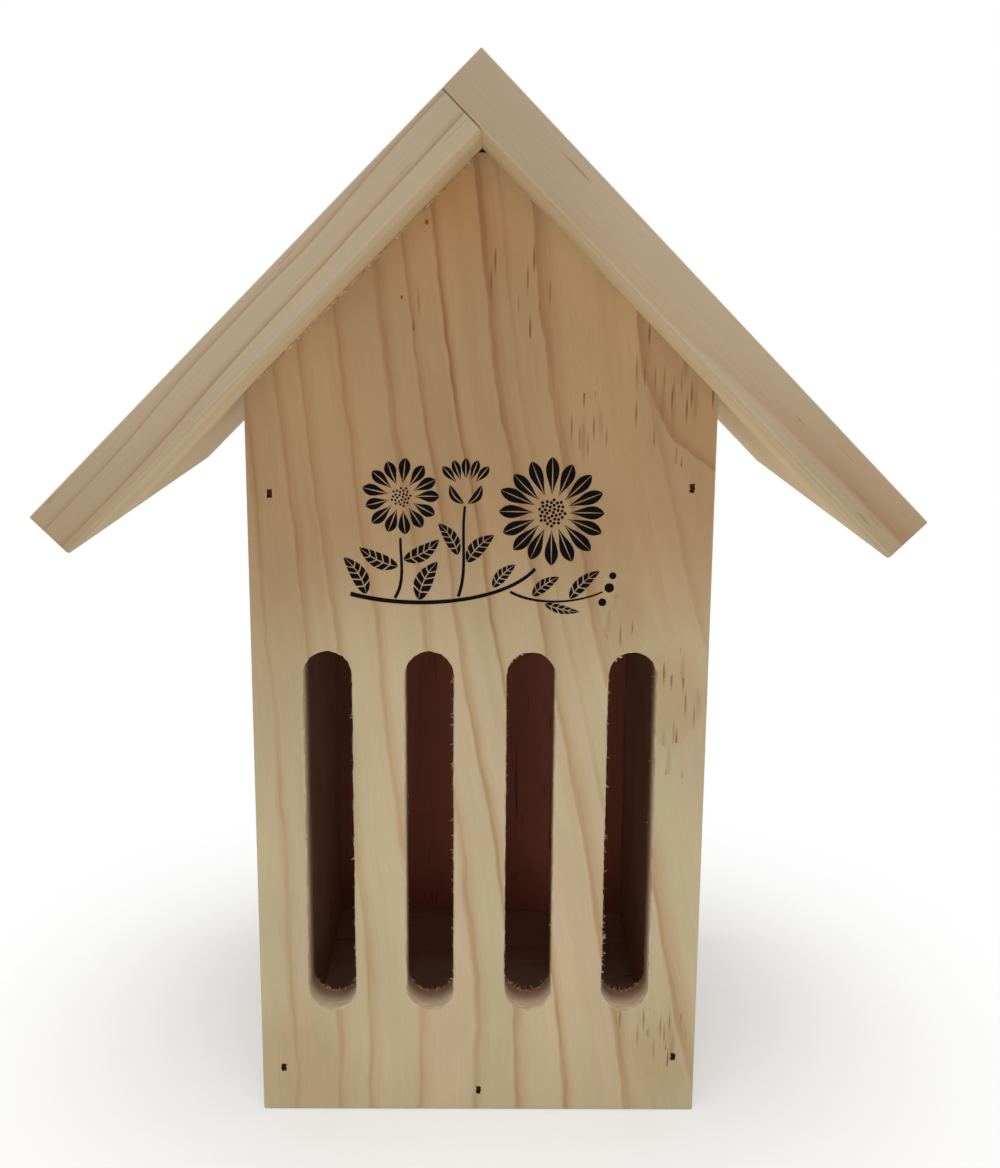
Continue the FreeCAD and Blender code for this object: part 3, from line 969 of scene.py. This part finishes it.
# Honey and amber are painted shade and warm bounce light under the roof.
HONEY = tone(174, 143, 105)
AMBER = tone(184, 139, 86)
OCHRE = tone(160, 114, 64)
UMBER = tone(138, 90, 46)
HONEY_RISE = (112.0, 165.0)
AMBER_RISE = (200.0, 245.0)
# Painted light: the gable is paler towards the right slope, where x and z add up to between these
# values in mm, to lift the roof's shade there.
HONEY_PAINTED_LIGHT = tone(192, 160, 120)
PAINTED_LIGHT_SLOPE = (222.0, 243.0)
# Scale, detail and shift of the rosy patches, and their edge.
BLUSH = ((0.09, 0.05, 0.006), 2.0, (2.0, 4.0, 6.0))
BLUSH_EDGE = (0.35, 0.65)
# How far in mm the change of tone moves up and down, with the scale, detail and shift of its waves.
RISE_WAVE = (40.0, (0.03, 0.03, 0.02), 2.0, (1.0, 9.0, 4.0))


def front_finish():
    """Pine of the front panel, pale at the foot and browner under the roof as painted shade."""
    finish = Finish("pine_front_panel", PINE_GLOSS)
    spot = board_spot(finish)
    x, _, z = finish.split(spot)
    upright = leaning_spot(finish, spot)
    brown = front_arches(finish, spot, front_lines(finish, upright))
    streaks = front_streaks(finish, spot)
    blush = finish.spread(finish.speckle(upright, *BLUSH), *BLUSH_EDGE)
    height = swayed(finish, z, spot, *RISE_WAVE)
    rise = finish.spread(height, *HONEY_RISE)
    # Painted shade under the roof: honey, and amber near the apex.
    spring = finish.mix(rise, finish.mix(blush, MEADOW, ROSE), HONEY)
    spring = finish.mix(finish.spread(height, *AMBER_RISE), spring, AMBER)
    # Painted light near the right slope of the gable.
    spring = finish.mix(finish.spread(finish.sum("ADD", x, z), *PAINTED_LIGHT_SLOPE), spring, HONEY_PAINTED_LIGHT)
    summer = finish.mix(rise, OCHRE, UMBER)
    return wood_finish(finish, upright, brown, streaks, spring, summer, SIDE_PAINTED_SHADE)


boards["front_panel"].data.materials.append(front_finish())
print("front lines:", len(FRONT_LINES), "fields of dashes:", len(STREAK_FIELDS))

# %% [markdown]
# ## Brads
# The brads are set below the wood and seen only as dark spots. Their imported solids are right, so
# they stay and only get a finish: wire that has dulled, with a little rust, painted dark as the shade
# of the holes that they sit in.

# %% Wire finish
# Wire and rust, both painted dark as the shade of the brads' holes.
DULL_WIRE_AND_PAINTED_SHADE = tone(58, 29, 6)
RUST = tone(68, 34, 10)
WIRE_GLOSS = 0.05
RUST_PATCHES = ((1.3, 1.3, 1.3), 4.0)
RUST_EDGE = (0.5, 0.68)
# Range of the rust, and the metal and the roughness that it leaves.
RUST_METAL = (0.0, 0.8, 0.25, 0.0)
RUST_ROUGHNESS = (0.0, 1.0, 0.38, 0.8)


def wire_finish():
    """Dull steel wire with traces of rust, painted dark as the shade of its hole."""
    finish = Finish("dull_wire_and_painted_shade", WIRE_GLOSS)
    spot = finish.mapped(finish.node("ShaderNodeTexCoord", {}).outputs["Object"], (1 / MM,) * 3)
    rust = finish.spread(finish.speckle(spot, *RUST_PATCHES), *RUST_EDGE)
    finish.surface("Base Color", finish.mix(rust, DULL_WIRE_AND_PAINTED_SHADE, RUST))
    finish.surface("Metallic", finish.spread(rust, *RUST_METAL))
    finish.surface("Roughness", finish.spread(rust, *RUST_ROUGHNESS))
    return finish.material


wire = wire_finish()
brads = [piece for name, piece in frame["nodes"].items() if name.endswith("_brads")]
for piece in brads:
    piece.data.materials.clear()
    piece.data.materials.append(wire)
print("brad groups:", len(brads))

# %% [markdown]
# ## The print
# Over the slots the front carries a small picture stamped in black ink: here a sprig with two
# daisies, a bud and leaves. Ink lies on wood as a thin film, so each shape is a flat grid laid
# along its leaf, petal or stem, and all are drawn out to a film that is sunk a little into the
# board. Bare slits and veins are left open, as a stamp's cutter would leave them.

# %% Flat shapes
PRINT_HEIGHT = 153.0 * MM
INK_PROUD = 0.04 * MM
INK_SUNK = 0.02 * MM
print_chance = random.Random(7)
ink_form = bmesh.new()


def on_print(place):
    """A point of the picture, in mm from its middle, on the back of the ink."""
    return Vector((place.x * MM, FRONT_Y + INK_SUNK, PRINT_HEIGHT + place.y * MM))


def lay_grid(columns, rows, place, veins=()):
    """A grid laid by a rule from its shares across and along, with some rows left bare as veins."""
    made = bmesh.ops.create_grid(ink_form, x_segments=columns, y_segments=rows, size=0.5)
    if veins:
        cells = {face for vert in made["verts"] for face in vert.link_faces}
        bare = [face for face in cells if int((face.calc_center_median().y + 0.5) * rows) in veins]
        bare.sort(key=lambda face: tuple(face.calc_center_median()))
        bmesh.ops.delete(ink_form, geom=bare, context="FACES")
    for vert in made["verts"]:
        if vert.is_valid:
            vert.co = on_print(place(vert.co.x + 0.5, vert.co.y + 0.5))


# %% Leaves and petals
# Half of the slit in mm: at the ends, what the middle adds, and how much it narrows to the tip.
SLIT_END = 0.03
SLIT = 0.16
SLIT_TAPER = 0.6
VEIN_SWEEP = 0.5
BLADE_FULLNESS = 0.75


def blade(base, tip, half_width, full_at, bend=0.0, rows=10, veins=()):
    """A leaf or petal in two halves with a bare slit between them, widest at a share of its length."""
    base = Vector(base)
    way = Vector(tip) - base
    aside = Vector((-way.y, way.x)).normalized()
    power = math.log(0.5) / math.log(full_at)

    def half(side):
        """The rule that lays one half."""
        def place(across, along):
            along = min(along + VEIN_SWEEP * across * along * (1.0 - along), 1.0)
            swell = math.sin(math.pi * along ** power) ** BLADE_FULLNESS
            slit = SLIT_END + SLIT * math.sin(math.pi * along) * (1.0 - SLIT_TAPER * along)
            reach = slit + max(half_width * swell - slit, 0.0) * across
            return base + way * along + aside * (side * reach + 4.0 * bend * along * (1.0 - along))
        return place

    for side in (-1.0, 1.0):
        lay_grid(2, rows, half(side), veins)


# %% Flowers
GOLDEN_ANGLE = math.radians(137.508)
UPRIGHT = Matrix.Rotation(math.radians(90), 4, "X")
# Share of the eye that its dots fill, and their radius as a share of the eye plus a part in mm.
EYE_FILL = 0.86
EYE_DOT = (0.085, 0.06)
# Gap in mm between the eye and the petals, place where they are widest, and what differs at random.
PETAL_GAP = 0.35
PETAL_FULL = 0.66
PETAL_TURN = 0.02
PETAL_REACH = (0.92, 1.0)
PETAL_BEND = 0.12


def direction(angle):
    """The direction at an angle in the plane of the print."""
    return Vector((math.cos(angle), math.sin(angle)))


def ink_dot(place, radius):
    """A round dot of ink."""
    bmesh.ops.create_circle(
        ink_form, cap_ends=True, segments=10, radius=radius * MM,
        matrix=Matrix.Translation(on_print(Vector(place))) @ UPRIGHT,
    )


def daisy(middle, radius, eye, petals, half_width, dots):
    """A flower with a ring of slit petals round a dotted eye."""
    middle = Vector(middle)
    for number in range(dots):
        reach = EYE_FILL * eye * math.sqrt((number + 0.5) / dots)
        ink_dot(middle + reach * direction(number * GOLDEN_ANGLE), EYE_DOT[0] * eye + EYE_DOT[1])
    for number in range(petals):
        angle = 2 * math.pi * number / petals + print_chance.uniform(-PETAL_TURN, PETAL_TURN)
        way = direction(angle)
        tip = middle + way * (radius * print_chance.uniform(*PETAL_REACH))
        bend = print_chance.uniform(-PETAL_BEND, PETAL_BEND)
        blade(middle + way * (eye + PETAL_GAP), tip, half_width, PETAL_FULL, bend)


# Angles of the bud's petals in degrees, and as shares of its radius their start, half of their width
# and the ends and the bend of the two leaves of its cup.
BUD_ANGLES = (50, 70, 90, 110, 130)
BUD_START = 0.42
BUD_WIDTH = 0.12
BUD_FULL = 0.62
CUP_BASE = (0.05, -0.28)
CUP_TIP = (0.44, 0.25)
CUP_FULL = 0.5
CUP_BEND = 0.09


def bud(middle, radius):
    """A half-open flower seen from the side, in its cup."""
    middle = Vector(middle)
    for angle in BUD_ANGLES:
        way = direction(math.radians(angle))
        blade(middle + BUD_START * radius * way, middle + radius * way, BUD_WIDTH * radius, BUD_FULL)
    for side in (-1, 1):
        base, tip = [middle + Vector((side * x, y)) * radius for x, y in (CUP_BASE, CUP_TIP)]
        blade(base, tip, BUD_WIDTH * radius, CUP_FULL, -CUP_BEND * side * radius)


# Middle, radius, radius of the eye, petals, half of their width, and dots in the eye.
daisy((17.0, 5.2), 13.6, 3.9, 16, 1.62, 38)
daisy((-19.0, 8.8), 9.6, 2.8, 13, 1.42, 26)
bud((-3.6, 9.6), 8.6)
print("flower faces:", len(ink_form.faces))

# %% Stems and leaves
STEM_ROWS = 28
# Four control points of each stem, and its width at the root and at the tip.
STEMS = (
    ((-31.5, -15.0), (-16.0, -19.2), (6.0, -17.0), (13.2, -8.6), 1.1, 0.8),
    ((-20.8, -16.0), (-18.0, -12.0), (-19.4, -6.0), (-19.3, -1.2), 0.8, 0.6),
    ((-5.4, -15.6), (-3.0, -9.0), (-4.8, -2.0), (-3.8, 6.6), 0.8, 0.6),
    ((7.2, -14.3), (12.0, -17.2), (22.0, -17.8), (29.6, -14.2), 0.7, 0.4),
)
# Base, tip, half of the width and bend of each leaf.
LEAVES = (
    ((-27.6, -15.0), (-33.0, -6.0), 2.0, -0.9), ((-15.0, -16.4), (-10.4, -7.0), 2.2, 0.9),
    ((-20.0, -8.2), (-29.2, -3.6), 1.9, 0.8), ((-18.5, -6.6), (-10.0, -1.6), 1.9, -0.8),
    ((-5.4, -5.2), (-10.2, 2.4), 1.7, -0.7), ((-3.3, -7.0), (3.2, -0.4), 1.9, 0.7),
    ((3.0, -13.2), (8.4, -7.6), 1.5, 0.5), ((12.6, -15.3), (19.0, -10.6), 1.5, 0.5),
    ((15.6, -17.3), (24.0, -19.2), 1.1, -0.4), ((21.6, -15.9), (28.8, -9.0), 1.6, 0.6),
)
BERRIES = ((31.2, -13.2, 1.2), (29.6, -16.8, 1.0), (32.0, -10.2, 0.9))
LEAF_ROWS = 30
LEAF_VEINS = range(5, 25, 5)
LEAF_FULL = 0.42


def stem(root, root_handle, tip_handle, tip, wide, narrow):
    """A stem along a curve, which narrows towards its tip."""
    knots = [Vector(point) for point in (root, root_handle, tip_handle, tip)]
    points = interpolate_bezier(*knots, STEM_ROWS + 1)

    def place(across, along):
        number = round(along * STEM_ROWS)
        way = points[min(number + 1, STEM_ROWS)] - points[max(number - 1, 0)]
        aside = Vector((-way.y, way.x)).normalized()
        return points[number].to_2d() + aside * (across - 0.5) * (wide + (narrow - wide) * along)

    lay_grid(1, STEM_ROWS, place)


for points in STEMS:
    stem(*points)
for base, tip, half_width, bend in LEAVES:
    blade(base, tip, half_width, LEAF_FULL, bend, LEAF_ROWS, LEAF_VEINS)
for across, up, radius in BERRIES:
    ink_dot((across, up), radius)
print("stems and leaves:", len(STEMS), len(LEAVES))

# %% Ink film
INK_WELD = 0.004 * MM
INK_BLACK = tone(18, 17, 17)
INK_WORN = tone(38, 32, 27)
INK_GLOSS = 0.01
INK_FIBRES = ((3.2, 3.2, 0.14), 3.0)
WORN_EDGE = (0.6, 0.78)
INK_ROUGHNESS = (0.2, 0.8, 0.5, 0.72)
INK_BUMP = (0.2, 0.1 * MM)


def ink_finish():
    """Black stamp ink, which lies thinner on the ridges of the fibres."""
    finish = Finish("stamp_ink", INK_GLOSS)
    fibres = finish.speckle(board_spot(finish), *INK_FIBRES)
    wear_and_painted_shade = finish.spread(fibres, *WORN_EDGE)
    finish.surface("Base Color", finish.mix(wear_and_painted_shade, INK_BLACK, INK_WORN))
    finish.surface("Roughness", finish.spread(fibres, *INK_ROUGHNESS))
    finish.bumped(fibres, *INK_BUMP)
    return finish.material


bmesh.ops.remove_doubles(ink_form, verts=ink_form.verts, dist=INK_WELD)
bmesh.ops.dissolve_degenerate(ink_form, dist=INK_WELD, edges=ink_form.edges)
drawn_out = bmesh.ops.extrude_face_region(ink_form, geom=ink_form.faces[:])
film = [item for item in drawn_out["geom"] if isinstance(item, bmesh.types.BMVert)]
bmesh.ops.translate(ink_form, verts=film, vec=(0.0, -INK_PROUD - INK_SUNK, 0.0))
bmesh.ops.recalc_face_normals(ink_form, faces=ink_form.faces[:])
ink_print = finished_piece(ink_form, "stamped_sprig")
ink_print.data.materials.append(ink_finish())
print("ink faces:", len(ink_print.data.polygons))

# %% [markdown]
# ## Torn fibres
# A router pulls hairs of wood out of the rim where its teeth leave the board. They are what tells
# the eye that the slots are cut in soft wood. Each hair is a thin four-sided cone, cut twice along
# its length and bent. They are thick on the rims that the cutter left last and sparse elsewhere,
# and a few stand where the real board has them.

# %% One fibre
# Thickness at the tip as a share of the root's, and the most that a hair bends as a share of its length.
HAIR_TIP = 0.3
HAIR_BEND = 0.5
fibre_chance = random.Random(58)
fibre_form = bmesh.new()
hair_mesh = bpy.data.meshes.new("one_hair")


def add_fibre(root, way, longest, lengths, thicknesses):
    """A bent hair with a thin tip, of a random length and thickness, which grows from a point."""
    length = longest * fibre_chance.uniform(*lengths)
    thick = fibre_chance.uniform(*thicknesses) * MM
    hair = bmesh.new()
    bmesh.ops.create_cone(
        hair, cap_ends=True, segments=4, radius1=thick, radius2=HAIR_TIP * thick, depth=length,
        matrix=Matrix.Translation((0.0, 0.0, length / 2)),
    )
    heights = {edge: abs(edge.verts[0].co.z - edge.verts[1].co.z) for edge in hair.edges}
    long_edges = [edge for edge, height in heights.items() if height > length / 2]
    bmesh.ops.subdivide_edges(hair, edges=long_edges, cuts=2)
    bend = length * fibre_chance.uniform(-HAIR_BEND, HAIR_BEND)
    for vert in hair.verts:
        vert.co.x += bend * (vert.co.z / length) ** 2
    own_turn = Matrix.Rotation(fibre_chance.uniform(0.0, math.pi), 4, "Z")
    lean = Vector(way).to_track_quat("Z", "Y").to_matrix().to_4x4()
    hair.transform(Matrix.Translation(root) @ lean @ own_turn)
    hair.to_mesh(hair_mesh)
    fibre_form.from_mesh(hair_mesh)
    hair.free()


# %% Fibres on the rims
SLOT_HALF = 6.0 * MM
SLOT_LOW = 28.3 * MM
SLOT_HIGH = 123.5 * MM
FRONT_BACK_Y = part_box("front_panel")[1].y
openings = frame["record"]["physics"]["openings"]
slot_boxes = [opening["box_m"] for opening in openings if opening["name"].startswith("entry_slot")]
SLOT_MIDDLES = [(low[0] + high[0]) / 2 for low, high in slot_boxes]
LEFT, RIGHT = -1, 1
# Hairs start this far in the wood, at these depths in mm behind the front face.
ROOT_DEPTH = 0.05 * MM
FRONT_RIM = (0.25, 0.7)
BACK_RIM = (10.2, 10.9)
TUFT_RIM = 0.35
TUFT_SPREAD = 0.8
# Least and most of their length as a share, thickness in mm, and lean to the back and upwards.
RIM_LENGTHS = (0.4, 1.0)
RIM_THICKNESSES = (0.06, 0.11)
RIM_LEAN_BACK = (-0.35, 0.1)
RIM_LEAN_UP = (-1.1, 0.9)
# Slot, side, number of hairs on the front rim and on the back rim, and the longest in mm.
TORN_RIMS = (
    (0, RIGHT, 38, 0, 0.9), (1, RIGHT, 38, 0, 1.0), (2, LEFT, 34, 0, 0.7), (3, LEFT, 50, 0, 1.0),
    (0, LEFT, 6, 14, 0.5), (1, LEFT, 5, 14, 0.5), (2, RIGHT, 6, 12, 0.5), (3, RIGHT, 6, 18, 0.6),
)
# Slot, side, height in mm, number and length in mm of the hairs that stand out.
TUFTS = (
    (0, RIGHT, 108.2, 2, 0.9), (0, RIGHT, 69.9, 2, 1.0), (0, RIGHT, 45.8, 1, 0.8),
    (1, RIGHT, 116.9, 2, 1.5), (1, RIGHT, 80.2, 2, 1.4), (2, RIGHT, 51.5, 2, 1.2),
    (3, LEFT, 48.4, 6, 1.5), (3, LEFT, 43.2, 2, 1.5),
)


def rim_fibre(number, side, height, longest, y):
    """A hair that grows from the rim of a slot into its opening."""
    root = (SLOT_MIDDLES[number] + side * (SLOT_HALF + ROOT_DEPTH), y, height)
    way = (-side, fibre_chance.uniform(*RIM_LEAN_BACK), fibre_chance.uniform(*RIM_LEAN_UP))
    add_fibre(root, way, longest, RIM_LENGTHS, RIM_THICKNESSES)


for number, side, on_front, on_back, longest in TORN_RIMS:
    for count, depths in ((on_front, FRONT_RIM), (on_back, BACK_RIM)):
        for _ in range(count):
            height = fibre_chance.uniform(SLOT_LOW + SLOT_HALF, SLOT_HIGH - SLOT_HALF)
            depth = FRONT_Y + fibre_chance.uniform(*depths) * MM
            rim_fibre(number, side, height, longest * MM, depth)
for number, side, height, count, longest in TUFTS:
    for _ in range(count):
        spot = height * MM + fibre_chance.uniform(-TUFT_SPREAD, TUFT_SPREAD) * MM
        rim_fibre(number, side, spot, longest * MM, FRONT_Y + TUFT_RIM * MM)
print("rim hairs:", sum(row[2] + row[3] for row in TORN_RIMS) + sum(row[3] for row in TUFTS))

# %% Fibres at the foot of each slot
FOOT_HAIRS = 26
FOOT_LONGEST = 1.5 * MM
# Range of their angle round the foot, depth in mm before the back face, lean, length and thickness.
FOOT_ANGLES = (205, 335)
FOOT_DEPTHS = (0.1, 1.6)
FOOT_LEAN_ASIDE = (-0.9, 0.9)
FOOT_LEAN_BACK = (-0.8, 0.4)
FOOT_LENGTHS = (0.35, 1.0)
FOOT_THICKNESSES = (0.06, 0.12)


def foot_fibre(middle, longest):
    """A hair that stands up from the back edge of a slot's round foot."""
    angle = math.radians(fibre_chance.uniform(*FOOT_ANGLES))
    inward = Vector((-math.cos(angle), 0.0, -math.sin(angle)))
    centre = Vector((middle, 0.0, SLOT_LOW + SLOT_HALF))
    root = centre - inward * (SLOT_HALF + ROOT_DEPTH)
    root.y = FRONT_BACK_Y - fibre_chance.uniform(*FOOT_DEPTHS) * MM
    lean = (fibre_chance.uniform(*FOOT_LEAN_ASIDE), fibre_chance.uniform(*FOOT_LEAN_BACK), 0.0)
    add_fibre(root, inward + Vector(lean), longest, FOOT_LENGTHS, FOOT_THICKNESSES)


for middle in SLOT_MIDDLES:
    for _ in range(FOOT_HAIRS):
        foot_fibre(middle, FOOT_LONGEST)
print("fibre faces:", len(fibre_form.faces))

# %% [markdown]
# ## Crumbs of sawn wood
# Where the front panel meets the left roof board its sawn edge is ragged, and two slots have a
# chip at the top. Crumbs are small icospheres with shaken points, pressed into the corner.

# %% Crumbs
crumb_chance = random.Random(23)
crumb_form = bmesh.new()
EAVES_LINE = max(vert.co.z + abs(vert.co.x) for vert in frame["nodes"]["front_panel"].data.vertices)
# Furthest and nearest distance of the ragged edge from the middle.
RAGGED = (54.0 * MM, 2.0 * MM)
CRUMBS = 200
CRUMB_SIZES = (0.12, 0.42)
# As shares of its size, how far a crumb is shaken, stands out of the front and lies under the roof.
CRUMB_SHAKE = 0.3
CRUMB_PROUD = 0.2
CRUMB_BELOW = 0.7


def add_crumb(place, size, stretch=(1.0, 1.0, 1.0)):
    """A shaken icosphere, stretched along the axes."""
    shape = Matrix.Translation(place) @ Matrix.Diagonal((*stretch, 1.0))
    made = bmesh.ops.create_icosphere(crumb_form, subdivisions=1, radius=size, matrix=shape)
    for vert in made["verts"]:
        vert.co += Vector([crumb_chance.uniform(-CRUMB_SHAKE, CRUMB_SHAKE) * size for _ in range(3)])


for _ in range(CRUMBS):
    aside = crumb_chance.uniform(*RAGGED)
    size = crumb_chance.uniform(*CRUMB_SIZES) * MM
    add_crumb((-aside, FRONT_Y - CRUMB_PROUD * size, EAVES_LINE - aside - CRUMB_BELOW * size), size)
print("crumbs:", CRUMBS)

# %% Chips at the top of two slots
# As shares of its size, how far a chip lies inside the rim and behind the front face.
CHIP_INSIDE = 0.3
CHIP_BEHIND = 0.5
# Slot, angle in degrees, size in mm and stretch of the two large chips.
LARGE_CHIPS = ((3, 122, 0.42, (1.5, 0.7, 0.8)), (3, 136, 0.30, (1.2, 0.7, 1.0)))
SMALL_CHIP_SLOT = 2
SMALL_CHIP_ANGLES = (112, 124, 131, 143, 152)
SMALL_CHIP_SIZES = (0.14, 0.28)
SMALL_CHIP_STRETCH = (1.3, 0.8, 1.0)


def chip(number, angle, size, stretch):
    """A chip left on the round top of a slot, at an angle in degrees."""
    turn = math.radians(angle)
    reach = SLOT_HALF - CHIP_INSIDE * size
    across = SLOT_MIDDLES[number] + reach * math.cos(turn)
    up = SLOT_HIGH - SLOT_HALF + reach * math.sin(turn)
    add_crumb((across, FRONT_Y + CHIP_BEHIND * size, up), size, stretch)


for number, angle, size, stretch in LARGE_CHIPS:
    chip(number, angle, size * MM, stretch)
for angle in SMALL_CHIP_ANGLES:
    chip(SMALL_CHIP_SLOT, angle, crumb_chance.uniform(*SMALL_CHIP_SIZES) * MM, SMALL_CHIP_STRETCH)
print("crumb faces:", len(crumb_form.faces))

# %% Finish of fibres and crumbs
TORN_GLOSS = 0.2
TORN_PATCHES = ((0.9, 0.9, 0.9), 3.0)
TORN_EDGE = (0.4, 0.65)
TORN_ROUGHNESS = (0.2, 0.8, 0.7, 0.9)


def torn_finish(name, pale, brown):
    """Raw torn wood, pale with browner fibres."""
    finish = Finish(name, TORN_GLOSS)
    patch = finish.speckle(board_spot(finish), *TORN_PATCHES)
    finish.surface("Base Color", finish.mix(finish.spread(patch, *TORN_EDGE), pale, brown))
    finish.surface("Roughness", finish.spread(patch, *TORN_ROUGHNESS))
    return finish.material


bpy.data.meshes.remove(hair_mesh)
fibres = finished_piece(fibre_form, "torn_fibres")
fibres.data.materials.append(torn_finish("torn_fibre", tone(206, 190, 158), tone(176, 146, 112)))
crumbs = finished_piece(crumb_form, "sawn_crumbs")
crumbs.data.materials.append(torn_finish("sawn_crumb", tone(200, 172, 130), tone(166, 128, 88)))
print("pieces of torn wood:", fibres.name, crumbs.name)
